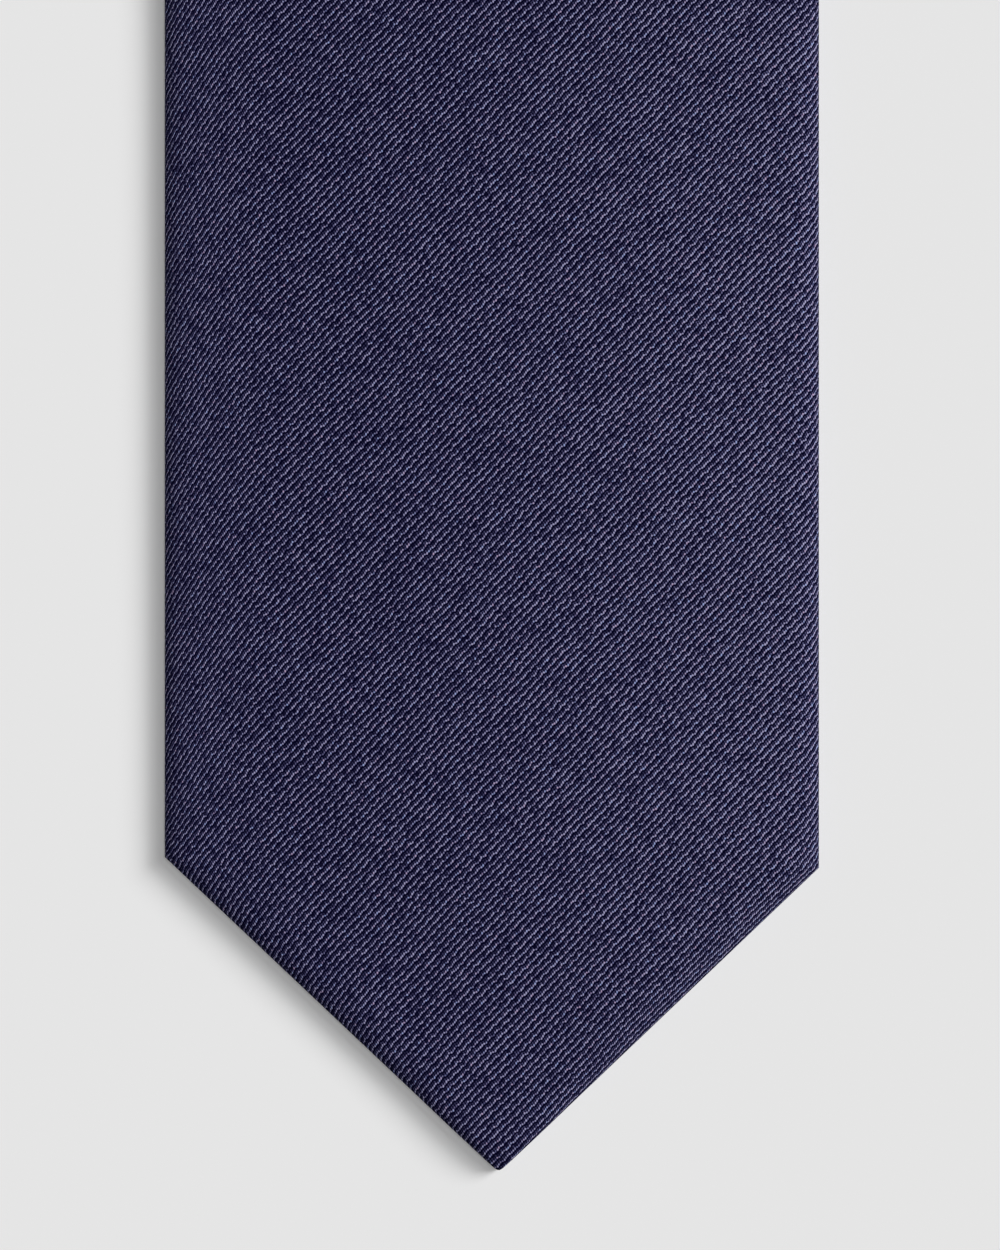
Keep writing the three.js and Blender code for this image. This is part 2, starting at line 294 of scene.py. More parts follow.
def silkTwill():
    material, groove, place = startMaterial("silkTwill", twill["grooveRoughness"], 0.0)
    # the grooves' copy of the silk, near-black and without gloss, is painted shade
    groove.inputs["Base Color"].default_value = twill["groove"]
    x, y = splitAxes(place)
    drift = noiseOn(place, twill["drift"]["scale"], 2) - 0.5
    waver = noiseOn(place, twill["waver"]["scale"], 1) - 0.5
    rib, sway = (
        x * twill[name][0] + y * twill[name][1] + drift * twill["drift"][name] + waver * twill["waver"][name]
        for name in ("rib", "sway"))
    yarn = sway * twill["yarnsPerSway"] + rib * 0.5
    steps = (sway * (4 * math.pi)).maths("SINE") * twill["swayStep"]
    bent = rib + (sway * (2 * math.pi)).maths("SINE") * twill["swayDepth"] - steps
    ribIndex = (bent + 0.5).maths("FLOOR")
    yarnIndex = (yarn + 0.5).maths("FLOOR")
    strayed = bent + (chanceIn(ribIndex + 700, yarnIndex) - 0.5) * twill["yarnShift"]
    height = ribHeight(strayed, yarn)
    grain = (noiseOn(place, twill["grain"]["scale"], 0) - 0.5) * twill["grain"]["depth"]
    cloud = (noiseOn(place, twill["cloud"]["scale"], 3) - 0.5) * twill["cloud"]["depth"]
    lively = (chanceIn(ribIndex, yarnIndex) - 0.5) * twill["uneven"] + 1 + cloud + grain
    # The ribs' height, with random yarn tone, sets how much of the lit crest copy shows: painted shade in the
    # grooves, a painted highlight on the crests, and painted light towards the right
    value = ((height + 1) * lively * paintedLightAcross(x, y) * twill["brightness"]).maths("MAXIMUM", 0.0)
    lifted = (value + twill["toe"]) * (1 / (1 + twill["toe"]))
    share = (lifted ** twill["contrast"] * twill["cover"]).clamp()
    crest = place.node("ShaderNodeBsdfPrincipled", {}, {
        "Base Color": crestTint(place, share),
        "Roughness": twill["roughness"],
        "Specular IOR Level": twill["specular"],
        "Normal": bumpOf(height, *twill["bump"]),
        **twill["sheen"],
    })
    # the shaded groove copy and the lit crest copy of the silk, mixed by that share: painted shade and
    # painted highlight
    inGrooves = Flow(place.tree, groove.outputs[0])
    silk = place.node("ShaderNodeMixShader", {}, {"Fac": share, 1: inGrooves, 2: crest})
    link(silk, place.tree.nodes["Material Output"].inputs["Surface"])
    return material


# Every other finish: a shade from its dark to its light colour, a roughness and a fine relief
def finishMaterial(material, principled, cloth, shade, roughness, relief):
    link(shade.clamp().mixed(cloth["dark"], cloth["light"]), principled.inputs["Base Color"])
    link(roughness, principled.inputs["Roughness"])
    link(bumpOf(relief, *cloth["bump"]), principled.inputs["Normal"])
    return material


# Tipping: a smooth satin lining, plain navy, with a very fine grain
lining = {
    "dark": (0.008, 0.009, 0.03, 1),
    "light": (0.024, 0.026, 0.07, 1),
    "threadPitch": 0.31108,
    "crossPitch": 0.572,
    "bandScale": 0.06,
    "gloss": (0.6, 0.1, 0.3),  # specular level, sheen, sheen roughness
    "roughness": 0.34,
    "bump": (0.25, 0.05 * mm),
}


def liningSatin():
    material, principled, place = startMaterial("liningSatin", lining["roughness"], *lining["gloss"])
    x, y = splitAxes(place)
    threadLine = stripes(x + y, lining["threadPitch"])
    crossLine = stripes(x - y, lining["crossPitch"])
    shade = threadLine * 0.45 + crossLine * 0.2 + noiseOn(place, lining["bandScale"]) * 0.5
    roughness = lining["roughness"] + crossLine * 0.1
    relief = threadLine * 0.7 + crossLine * 0.3
    return finishMaterial(material, principled, lining, shade, roughness, relief)


# Interlining: an undyed, brushed wool cloth with an open weave
wool = {
    "dark": (0.42, 0.38, 0.31, 1),
    "light": (0.72, 0.68, 0.58, 1),
    "pitch": 0.9,
    "fuzzScale": 1.7,
    "gloss": (0.2, 0.4, 0.7),
    "roughness": 0.85,
    "bump": (0.5, 0.2 * mm),
}


def interliningWool():
    material, principled, place = startMaterial("interliningWool", wool["roughness"], *wool["gloss"])
    warp, weft = ((axis * (2 * math.pi / wool["pitch"])).maths("SINE") for axis in splitAxes(place))
    weave = warp * weft * 0.5 + 0.5
    fuzz = noiseOn(place, wool["fuzzScale"], 4)
    shade = weave * 0.5 + fuzz * 0.6
    roughness = wool["roughness"] + fuzz * 0.15
    relief = weave * 0.6 + fuzz * 0.6
    return finishMaterial(material, principled, wool, shade, roughness, relief)


# Ribbons: a narrow woven tape, with fine ribs across it and along it
ribbon = {
    "label": {
        "dark": (0.045, 0.046, 0.085, 1),
        "light": (0.12, 0.122, 0.19, 1),
        "pitch": 0.34,
        "roughness": 0.5,
        "bump": (0.3, 0.06 * mm),
    },
    "care": {
        "dark": (0.48, 0.47, 0.44, 1),
        "light": (0.70, 0.69, 0.66, 1),
        "pitch": 0.26,
        "roughness": 0.4,
        "bump": (0.3, 0.06 * mm),
    },
    "gloss": (0.45, 0.15, 0.4),
    "wearScale": 0.5,
}


def ribbonTape(kind):
    tape = ribbon[kind]
    material, principled, place = startMaterial(f"{kind}Ribbon", tape["roughness"], *ribbon["gloss"])
    x, y = splitAxes(place)
    weft = stripes(y, tape["pitch"])
    warp = stripes(x, tape["pitch"])
    wear = noiseOn(place, ribbon["wearScale"], 3)
    shade = weft * 0.4 + warp * 0.25 + wear * 0.4
    roughness = tape["roughness"] + wear * 0.1
    relief = weft * 0.6 + warp * 0.4
    return finishMaterial(material, principled, tape, shade, roughness, relief)


# Thread: two plies twisted round each other
ply = {
    "dark": (0.010, 0.010, 0.03, 1),
    "light": (0.07, 0.07, 0.13, 1),
    "twist": 0.5,
    "lean": 1.1,
    "fuzzScale": 3.0,
    "gloss": (0.5, 0.2, 0.3),
    "roughness": 0.4,
    "bump": (0.4, 0.05 * mm),
}


def sewingThread():
    material, principled, place = startMaterial("sewingThread", ply["roughness"], *ply["gloss"])
    x, y = splitAxes(place)
    twist = stripes(y * (1 / ply["twist"]) + x * ply["lean"], 1)
    fuzz = noiseOn(place, ply["fuzzScale"])
    shade = twist * 0.7 + fuzz * 0.3
    roughness = ply["roughness"] + fuzz * 0.2
    return finishMaterial(material, principled, ply, shade, roughness, twist)


print("materials")
finishes = {
    "silk_twill": silkTwill(),
    "lining_satin": liningSatin(),
    "interlining_wool": interliningWool(),
    "label_ribbon": ribbonTape("label"),
    "care_ribbon": ribbonTape("care"),
    "sewing_thread": sewingThread(),
}

# The lie of the tie: distances run from the wide blade's point along the back of the cloth
thickness = tipBox[1].z - tipBox[0].z
tie = {
    "foldSlope": math.radians(6),
    "rampHalf": 18 * mm,
    "bendBefore": 21 * mm,  # a bend zone starts this much before a joint
    "bendAfter": 2 * mm,
    "kinkHalf": 15 * mm,
    "step": 0.25 * mm,
}


def measureRuns():
    lower, upper = joints["blade_bend_lower"], joints["blade_bend_upper"]
    first, second, third = (joints[f"neck_fold_{name}"] for name in ("upper", "middle", "lower"))
    slope = tie["foldSlope"]
    lowerBend = lower[1] - tipBox[0].y
    rampRun = math.hypot(upper[1] - lower[1], upper[2] - lower[2])
    riseRun = (first[2] - upperBox[0].z) / math.sin(slope)
    linkRun = math.hypot(second[1] - first[1], second[2] - first[2])
    upperBend = lowerBend + rampRun
    riseStart = upperBend + first[1] - riseRun * math.cos(slope) - upper[1]
    firstFold = riseStart + riseRun
    return {
        "lowerBend": lowerBend,
        "upperBend": upperBend,
        "rampSlope": math.asin(upperBox[0].z / rampRun),
        "riseStart": riseStart,
        "firstFold": firstFold,
        "linkRun": linkRun,
        "lastFold": firstFold + 2 * linkRun,
        "end": firstFold + 2 * linkRun + third[1] - tailBox[0].y,
        "foldRadius": (first[2] - linkRun / 2 * math.sin(slope) - thickness) / (1 + math.cos(slope)),
    }


runs = measureRuns()


def centreLine():
    half, kink, slope = tie["rampHalf"], tie["kinkHalf"], tie["foldSlope"]
    arcStart = runs["firstFold"] - runs["linkRun"] / 2
    arcEnd = runs["lastFold"] + runs["linkRun"] / 2
    bends = [
        (0, 0),
        (runs["lowerBend"] - half, 0),
        (runs["lowerBend"] + half, runs["rampSlope"]),
        (runs["upperBend"] - half, runs["rampSlope"]),
        (runs["upperBend"] + half, 0),
        (runs["riseStart"] - kink, 0),
        (runs["riseStart"] + kink, slope),
        (arcStart, slope),
        (arcEnd, -math.pi),
        (runs["end"], -math.pi),
    ]
    s = np.linspace(0, runs["end"], int(runs["end"] / tie["step"]) + 1)
    angle = np.interp(s, [bend[0] for bend in bends], [bend[1] for bend in bends])
    arcShare = runs["foldRadius"] * (math.pi + slope) / (arcEnd - arcStart)
    speed = np.where((s > arcStart) & (s < arcEnd), arcShare, 1.0)
    ds = np.diff(s, prepend=0) * speed
    middle = np.concatenate([[0], (angle[1:] + angle[:-1]) / 2])
    y = tipBox[0].y + np.cumsum(np.cos(middle) * ds)
    z = np.cumsum(np.sin(middle) * ds)
    return {"s": s, "y": y, "z": z, "angle": angle, "arcStart": arcStart, "arcEnd": arcEnd}


line = centreLine()


def lay(s, x, h):
    y = np.interp(s, line["s"], line["y"])
    z = np.interp(s, line["s"], line["z"])
    angle = np.interp(s, line["s"], line["angle"])
    return np.stack([x + 0 * s, y - h * np.sin(angle), z + h * np.cos(angle)], axis=-1)


# Outline of the two blades, each measured from its own point
bladeEnd = {
    "pointX": 0.84 * mm,
    "halfWidth": (tipBox[1].x - tipBox[0].x) / 2,
    "leftCorner": 38.33 * mm,
    "rightCorner": 37.03 * mm,
    "hem": 9.5 * mm,
    "hemEnd": 44 * mm,
    "apex": 88 * mm,
    "tippingEnd": 128 * mm,
}
tailEnd = {
    "pointX": 0,
    "halfWidth": (tailBox[1].x - tailBox[0].x) / 2,
    "leftCorner": 20.5 * mm,
    "rightCorner": 20.5 * mm,
    "hem": 7 * mm,
    "hemEnd": 25 * mm,
    "apex": 50 * mm,
    "tippingEnd": 76 * mm,
}
outline = {
    "pointRadius": 0.68 * mm,
    "neckHalfWidth": (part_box("neck_panel_fold_1")[1].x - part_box("neck_panel_fold_1")[0].x) / 2,
    "parallelEnd": 150 * mm,
    "neckStart": 800 * mm,
    "neckEnd": 1010 * mm,
    "lap": 4 * mm,
    "lapGrows": (-4 * mm, 8 * mm),  # from before the flaps' meeting place to past it
    "hemGap": 0.1 * mm,
}


def smooth(low, high, value):
    share = np.clip((value - low) / (high - low), 0, 1)
    return share * share * (3 - 2 * share)


def nearestEnd(s):
    end, u = (bladeEnd, s) if s < runs["end"] / 2 else (tailEnd, runs["end"] - s)
    return end, max(u, 0.03 * mm)


def bodyHalfWidth(s):
    narrowing = smooth(outline["parallelEnd"], outline["neckStart"], s)
    widening = smooth(outline["neckEnd"], runs["end"] - tailEnd["leftCorner"], s)
    blade, neck, tail = bladeEnd["halfWidth"], outline["neckHalfWidth"], tailEnd["halfWidth"]
    return blade + (neck - blade) * narrowing + (tail - neck) * widening


def edges(s):
    end, u = nearestEnd(s)
    full = bodyHalfWidth(s)
    radius = outline["pointRadius"]
    beyond = radius * (math.sqrt(2) - 1)  # where the two slanting edges would cross
    ends = []
    for side, corner in ((-1, end["leftCorner"]), (1, end["rightCorner"])):
        share = min(1, (u + beyond) / (corner + beyond))
        edge = end["pointX"] * (1 - share) + side * full * share
        if u < radius * (1 - math.sqrt(0.5)):
            rounded = end["pointX"] + side * math.sqrt(max(0, radius ** 2 - (radius - u) ** 2))
            edge = max(edge, rounded) if side < 0 else min(edge, rounded)
        ends.append(edge)
    return ends


def flapEnds(s):
    end, u = nearestEnd(s)
    left, right = edges(s)
    grows = outline["lapGrows"]
    lapped = outline["lap"] * smooth(end["apex"] + grows[0], end["apex"] + grows[1], u)
    if u > end["hemEnd"]:
        reach = (end["halfWidth"] - end["hem"]) / (end["apex"] - end["hemEnd"])
        gape = reach * max(0, end["apex"] - u)
        return lapped - gape, gape - lapped
    gap = min(outline["hemGap"], (right - left) / 8)
    return min(end["pointX"] - gap, left + end["hem"]), max(end["pointX"] + gap, right - end["hem"])


# The folded cloth of a panel, as one thin wall: right flap, right edge, face, left edge, left flap
shell = {
    "wall": 0.35 * mm,
    "topRollLeft": 4.6 * mm,
    "topRollRight": 4.2 * mm,
    "bottomRoll": 3.0 * mm,
    "rollPower": 2.5,
    "flapPoints": 26,
    "rollPoints": 9,
    "facePoints": 60,
    "slantRoll": 0.4,  # how much rounder the slanting edges are
    "slantFade": 6 * mm,
    "lapStep": 0.55 * mm,
    "lapRise": (-18 * mm, -4 * mm),
    "lapSlope": 5 * mm,
    "pointScale": 0.3,
    "pointScaleEnd": 8 * mm,
    "crown": 0.9 * mm,
    "crownEnd": 45 * mm,
    "swellInset": 9 * mm,
    "swellStart": (3 * mm, 18 * mm),
    "seamDip": 0.28 * mm,
    "seamHalf": 0.55 * mm,
}


def rollOver(edge, side, topRoll, bottomRoll, high):
    count = shell["rollPoints"]
    turn = np.linspace(-math.pi / 2, math.pi / 2, 2 * count + 1)
    power = 2 / shell["rollPower"]
    depth = np.where(turn > 0, topRoll, bottomRoll) * (1 - np.abs(np.cos(turn)) ** power)
    height = high / 2 * (1 + np.sign(turn) * np.abs(np.sin(turn)) ** power)
    return edge - side * depth, height


def shellLine(s):
    end, u = nearestEnd(s)
    left, right = edges(s)
    leftEnd, rightEnd = flapEnds(s)
    power = shell["rollPower"]
    filled = (1 - (1 - min(1, u / shell["pointScaleEnd"])) ** power) ** (1 / power)
    scale = shell["pointScale"] + (1 - shell["pointScale"]) * filled
    high = thickness * scale
    slanted = 1 + shell["slantRoll"] * (1 - smooth(0, shell["slantFade"], u - end["leftCorner"]))
    room = (right - left) * 0.3
    bottomRoll = min(shell["bottomRoll"] * slanted, (right - rightEnd) * 0.7, (leftEnd - left) * 0.7)
    rightX, rightH = rollOver(right, 1, min(shell["topRollRight"] * slanted, room), bottomRoll, high)
    leftX, leftH = rollOver(left, -1, min(shell["topRollLeft"] * slanted, room), bottomRoll, high)
    rightFlap = np.linspace(rightEnd, rightX[0], shell["flapPoints"], endpoint=False)
    face = np.linspace(rightX[-1], leftX[-1], shell["facePoints"] + 2)[1:-1]
    leftFlap = np.linspace(leftX[0], leftEnd, shell["flapPoints"] + 1)[1:]
    rise, lap = shell["lapRise"], outline["lap"]
    raised = shell["lapStep"] * smooth(end["apex"] + rise[0], end["apex"] + rise[1], u)
    leftHeight = raised * smooth(-lap - shell["lapSlope"], -lap - mm, leftFlap)
    x = np.concatenate([rightFlap, rightX, face, leftX[::-1], leftFlap])
    h = np.concatenate([0 * rightFlap, rightH, 0 * face + high, leftH[::-1], leftHeight])
    return x, h, shell["wall"] * scale


def acrossLine(x, h):
    dx, dh = np.gradient(x), np.gradient(h)
    reach = np.hypot(dx, dh)
    return dh / reach, -dx / reach


# Slow swells that a soft tie has, as waves; the tail, lying on its face, is flatter
swells = {
    "waves": [
        {"length": 31 * mm, "lean": 0.9, "depth": 0.045 * mm, "phase": 0.4},
        {"length": 47 * mm, "lean": -0.5, "depth": 0.06 * mm, "phase": 1.7},
        {"length": 19 * mm, "lean": 0.3, "depth": 0.02 * mm, "phase": 2.9},
        {"length": 83 * mm, "lean": 0.2, "depth": 0.07 * mm, "phase": 0.9},
    ],
    "settle": 120 * mm,
    "tailShare": 0.3,
    "tailSink": 0.06 * mm,
}


def resting(s):
    return smooth(runs["firstFold"] - swells["settle"], runs["firstFold"], s)


def swell(x, s):
    total = sum(
        low["depth"] * np.sin(2 * math.pi * (s + low["lean"] * x) / low["length"] + low["phase"])
        for low in swells["waves"])
    return total * (1 - (1 - swells["tailShare"]) * resting(s)) - swells["tailSink"] * resting(s)


def crown(x, s):
    left, right = edges(s)
    across = np.clip((2 * x - left - right) / (right - left), -1, 1)
    size = shell["crown"] * (right - left) / 2 / bladeEnd["halfWidth"]
    return size * smooth(0, shell["crownEnd"], nearestEnd(s)[1]) * (1 - across ** 2) * (1 - resting(s))


# How the ribs lie: drawn together where the cloth goes round an edge, more so along a slanting right edge
drawn = {
    "left": {"reach": 14 * mm, "lean": 0.6, "slantShare": 0.34},
    "right": {"reach": 3 * mm, "lean": 0.4, "slantReach": 4.5 * mm, "slantLean": 0.15},
    "corner": (-6 * mm, 8 * mm),
    "unbendAfter": 160 * mm,
}


def drawnTogether(u, leftU, rightU, s):
    end, fromPoint = nearestEnd(s)
    before, after = drawn["corner"]
    leftStraight = smooth(end["leftCorner"] + before, end["leftCorner"] + after, fromPoint)
    rightSlant = 1 - smooth(end["rightCorner"] + before, end["rightCorner"] + after, fromPoint)
    left, right = drawn["left"], drawn["right"]
    leftLean = left["lean"] * (left["slantShare"] + (1 - left["slantShare"]) * leftStraight)
    rightLean = right["lean"] + right["slantLean"] * rightSlant
    half = (rightU - leftU) / 2
    leftReach = min(left["reach"], half * 0.4)
    rightReach = min(right["reach"] + right["slantReach"] * rightSlant, half * 0.4)
    fromLeft = np.clip(u - leftU, 0, leftReach)
    fromRight = np.clip(rightU - u, 0, rightReach)
    skewed = u - leftLean * (leftReach - fromLeft) ** 2 / (2 * leftReach)
    return skewed + rightLean * (rightReach - fromRight) ** 2 / (2 * rightReach)


def developed(x, h, along, s):
    walked = np.concatenate([[0], np.cumsum(np.hypot(np.diff(x), np.diff(h)))])
    rightEdge = shell["flapPoints"] + shell["rollPoints"]
    leftEdge = rightEdge + 2 * shell["rollPoints"] + 1 + shell["facePoints"]
    middle = (rightEdge + leftEdge) // 2
    u = x[middle] + walked[middle] - walked
    unbent = smooth(line["arcEnd"], line["arcEnd"] + drawn["unbendAfter"], along)
    bend = -np.interp(along, line["s"], line["angle"]) * (1 - unbent)
    return np.stack([drawnTogether(u, u[leftEdge], u[rightEdge], s), along + h * bend], axis=-1)


def shellRing(s, slant=0.0, seamAt=None):
    x, h, wall = shellLine(s)
    nx, nh = acrossLine(x, h)
    left, right = edges(s)
    along = s + slant * x
    top = np.clip((h / thickness - 0.5) * 2, 0, 1)
    inset = smooth(0, shell["swellInset"], np.minimum(x - left, right - x))
    inset = inset * smooth(*shell["swellStart"], nearestEnd(s)[1])
    dip = 0 if seamAt is None else shell["seamDip"] * math.exp(-((s - seamAt) / shell["seamHalf"]) ** 2)
    outerH = h + top * (swell(x, along) * inset + crown(x, s) - dip)
    outer = lay(along, x, outerH)
    inner = lay(along, x - nx * wall, outerH - nh * wall)
    return outer, inner, developed(x, h, along, s)


# A finished piece from its points, faces and places on the flat cloth
def finishPiece(name, points, faces, coordinates, finish):
    mesh = bpy.data.meshes.new(name)
    mesh.from_pydata(points.tolist(), [], faces)
    layer = mesh.uv_layers.new(name="cloth")
    loops = np.empty(len(mesh.loops), np.int32)
    mesh.loops.foreach_get("vertex_index", loops)
    layer.data.foreach_set("uv", coordinates[loops].ravel())
    piece = bpy.data.objects.new(name, mesh)
    bpy.context.scene.collection.objects.link(piece)
    mesh.materials.append(finishes[finish])
    bpy.ops.object.select_all(action="DESELECT")
    piece.select_set(True)
    bpy.context.view_layer.objects.active = piece
    bpy.ops.object.shade_smooth_by_angle(angle=math.radians(50))
    return piece


# A closed cloth from two grids of points, the outer side and the inner side
def makeCloth(name, outer, inner, uv, finish):
    rows, count = outer.shape[:2]
    points = np.concatenate([outer.reshape(-1, 3), inner.reshape(-1, 3)])
    coordinates = np.concatenate([uv.reshape(-1, 2), uv.reshape(-1, 2)])
    shift = rows * count
    faces = []
    for i in range(rows - 1):
        for j in range(count - 1):
            a, b = i * count + j, (i + 1) * count + j
            faces.append((a, b, b + 1, a + 1))
            faces.append((a + shift, a + 1 + shift, b + 1 + shift, b + shift))
        for j in (0, count - 1):
            a, b = i * count + j, (i + 1) * count + j
            wall = (a, a + shift, b + shift, b)
            faces.append(wall if j == 0 else wall[::-1])
    for i in (0, rows - 1):
        for j in range(count - 1):
            a = i * count + j
            wall = (a, a + 1, a + 1 + shift, a + shift)
            faces.append(wall if i == 0 else wall[::-1])
    return finishPiece(name, points, faces, coordinates, finish)


# Where along the tie each stretch of cloth begins, ends and bends
marks = {
    "bladeSplit": (runs["lowerBend"] + runs["upperBend"]) / 2,
    "frontSeam": 772 * mm,
    "foldSplitOne": runs["firstFold"] + runs["linkRun"] / 2,
    "foldSplitTwo": runs["firstFold"] + runs["linkRun"] * 1.5,
    "tailSeam": 1120 * mm,
}
foldThird = (line["arcEnd"] - line["arcStart"]) / 3
bendZones = {
    name: {
        "bodies": bodies,
        "ends": (runs[f"{name}Bend"] - tie["bendBefore"], runs[f"{name}Bend"] + tie["bendAfter"]),
        "height": 0,
    }
    for name, bodies in (("lower", ("blade_tip", "blade_bend")), ("upper", ("blade_bend", "front_leg")))
}
foldBodies = ["front_leg", "fold_link_1", "fold_link_2", "tail_leg"]
for place, name in enumerate(("foldOne", "foldTwo", "foldThree")):
    bendZones[name] = {
        "bodies": foldBodies[place:place + 2],
        "ends": (line["arcStart"] + foldThird * place, line["arcStart"] + foldThird * (place + 1)),
        "height": 0.3 * thickness,
    }
stretches = [
    ("Blade", 0, marks["bladeSplit"], "lower"),
    ("Front", marks["bladeSplit"], marks["frontSeam"], "upper"),
    ("NeckUpper", marks["frontSeam"], marks["foldSplitOne"], "foldOne"),
    ("NeckFold", marks["foldSplitOne"], marks["foldSplitTwo"], "foldTwo"),
    ("NeckLower", marks["foldSplitTwo"], marks["tailSeam"], "foldThree"),
    ("Tail", marks["tailSeam"], runs["end"], "tail"),
]


def bendWith(piece, zone):
    if zone == "tail":
        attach(piece, "tail_leg")
        return
    bend = bendZones[zone]
    start, end = (tuple(lay(s, 0.0, bend["height"])) for s in bend["ends"])
    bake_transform(piece)


# How far apart the stations are: close at a point and round the neck fold, wide where the cloth is plain
gaps = {
    "fold": 0.3 * mm,
    "foldMargin": 4 * mm,
    "point": ((0.6 * mm, 0.08 * mm), (2 * mm, 0.3 * mm)),  # up to this far from a point, this gap
    "end": 1.5 * mm,
    "endMargin": 12 * mm,
    "bend": 3 * mm,
    "bendMargin": 24 * mm,
    "plain": 6 * mm,
    "seam": 4 * mm,  # from the last slanting station to the next straight one
    "least": 0.2 * mm,
}


def spacing(s):
    end, u = nearestEnd(s)
    if line["arcStart"] - gaps["foldMargin"] < s < line["arcEnd"] + gaps["foldMargin"]:
        return gaps["fold"]
    for reach, gap in gaps["point"]:
        if u < reach:
            return gap
    if u < end["apex"] + gaps["endMargin"]:
        return gaps["end"]
    bends = (runs["lowerBend"], runs["upperBend"], runs["riseStart"])
    nearBend = min(abs(s - bend) for bend in bends) < gaps["bendMargin"]
    return gaps["bend"] if nearBend else gaps["plain"]


def stationsOf(start, stop, extra=()):
    found = [start]
    while found[-1] < stop:
        found.append(found[-1] + spacing(found[-1] + 1e-6))
    inside = [s for s in found[1:] if s < stop - gaps["least"]]
    kept = [s for s in extra if start < s < stop]
    return sorted({start, stop, *inside, *kept})


# Stations by a joining seam follow its slant, and crowd together where the cloth dips into it
seamSteps = [0.04, 0.3, 0.6, 0.9, 1.3, 2.0, 3.5, 6, 10, 15, 21, 28, 36]  # millimetres from the seam
seamSlant = (4, 36)  # the full slant up to the first distance, none past the second


def seamStations(seam, side):
    return [(seam + side * step * mm, 1 - smooth(*seamSlant, step)) for step in seamSteps]


def shellStations(name, start, stop):
    slanted = []
    if name in ("Front", "NeckLower"):
        slanted = seamStations(stop, -1)[::-1]
        stop = slanted[0][0] - gaps["seam"]
    if name in ("NeckUpper", "Tail"):
        slanted = seamStations(start, 1)
        start = slanted[-1][0] + gaps["seam"]
    corners = [bladeEnd["leftCorner"], bladeEnd["rightCorner"], runs["end"] - tailEnd["leftCorner"]]
    straight = [(s, 0.0) for s in stationsOf(start, stop, corners)]
    seamAt = marks["frontSeam"] if name in ("Front", "NeckUpper") else marks["tailSeam"]
    ordered = sorted([*slanted, *straight], key=lambda pair: pair[0])
    return ordered, seamAt if slanted else None


# A sheet's flat size is that of its grid of points, and at least smallestSheet either way
smallestSheet = 10 * mm


def declareCloth(grid, width):
    down, across = grid[1:] - grid[:-1], grid[:, 1:] - grid[:, :-1]
    area = float(np.linalg.norm(np.cross(down[:, :-1], across[:-1]), axis=-1).sum())
    length = float(np.linalg.norm(down, axis=-1).sum(axis=0).max())
    flat = (max(width, smallestSheet), max(length, smallestSheet))
    min(area, flat[0] * flat[1])


panelNodes = {
    "Blade": ["front_panel_tip"],
    "Front": ["front_panel_bend", "front_panel_upper"],
    "NeckUpper": ["neck_panel_upper"],
    "NeckFold": ["neck_panel_fold_1"],
    "NeckLower": ["neck_panel_fold_2", "neck_panel_lower"],
    "Tail": ["tail_panel"],
}


def addPanels():
    for name, start, stop, zone in stretches:
        stations, seamAt = shellStations(name, start, stop)
        rings = [shellRing(s, slant, seamAt) for s, slant in stations]
        outer, inner, uv = (np.stack(part) for part in zip(*rings))
        piece = makeCloth(f"panel{name}", outer, inner, uv, "silk_twill")
        bendWith(piece, zone)
        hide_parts(*panelNodes[name])
        width = float(np.ptp(uv[:, :, 0], axis=1).max())
        declareCloth(outer, width)
        print(f"panel {name}: {len(stations)} stations, cloth {width * 1000:.0f} mm across")


print("panels")
addPanels()


# Flat cloths inside the shell: laid across from the right to the left side, upper face first
def addFlat(name, stations, spans, heights, finish, columns=25):
    outer, inner, uv = [], [], []
    for s in stations:
        left, right = spans(s)
        x = np.linspace(right, left, columns)
        low, high = heights(x, s)
        outer.append(lay(s, x, high))
        inner.append(lay(s, x, low))
        uv.append(np.stack([x, s + 0 * x], axis=-1))
    outer, inner, uv = (np.stack(part) for part in (outer, inner, uv))
    piece = makeCloth(name, outer, inner, uv, finish)
    width = max(spans(s)[1] - spans(s)[0] for s in stations)
    declareCloth((outer + inner) / 2, width)
    return piece


interlining = {
    "inset": 2.64 * mm,
    "low": 1.95 * mm,
    "high": 2.75 * mm,
    "start": 9 * mm,
    "crownShare": 0.8,
}
interliningNodes = {
    "Blade": ["interlining_tip"],
    "Front": ["interlining_bend"],
    "NeckUpper": ["interlining_upper"],
    "NeckFold": ["interlining_fold_1"],
    "NeckLower": ["interlining_fold_2"],
    "Tail": ["interlining_tail"],
}


def addInterlinings():
    def spans(s):
        left, right = edges(s)
        return left + interlining["inset"], right - interlining["inset"]

    def heights(x, s):
        rise = crown(x, s) * interlining["crownShare"]
        return interlining["low"] + rise, interlining["high"] + rise

    for name, start, stop, zone in stretches:
        start = max(start, interlining["start"])
        stop = min(stop, runs["end"] - interlining["start"])
        piece = addFlat(f"interlining{name}", stationsOf(start, stop), spans, heights, "interlining_wool")
        bendWith(piece, zone)
        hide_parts(*interliningNodes[name])


print("interlinings")
addInterlinings()

# Tippings: the linings seen between the back flaps
tipping = {
    "inset": 3.4 * mm,
    "thick": 0.2 * mm,
    "outside": 0.55 * mm,
    "inside": 1.25 * mm,
    "start": 6 * mm,
    "sinks": (-26 * mm, -6 * mm),  # it goes in under the flaps before they meet
    "ripple": {"depth": 0.07 * mm, "across": 210, "along": 90, "start": 8 * mm},
}


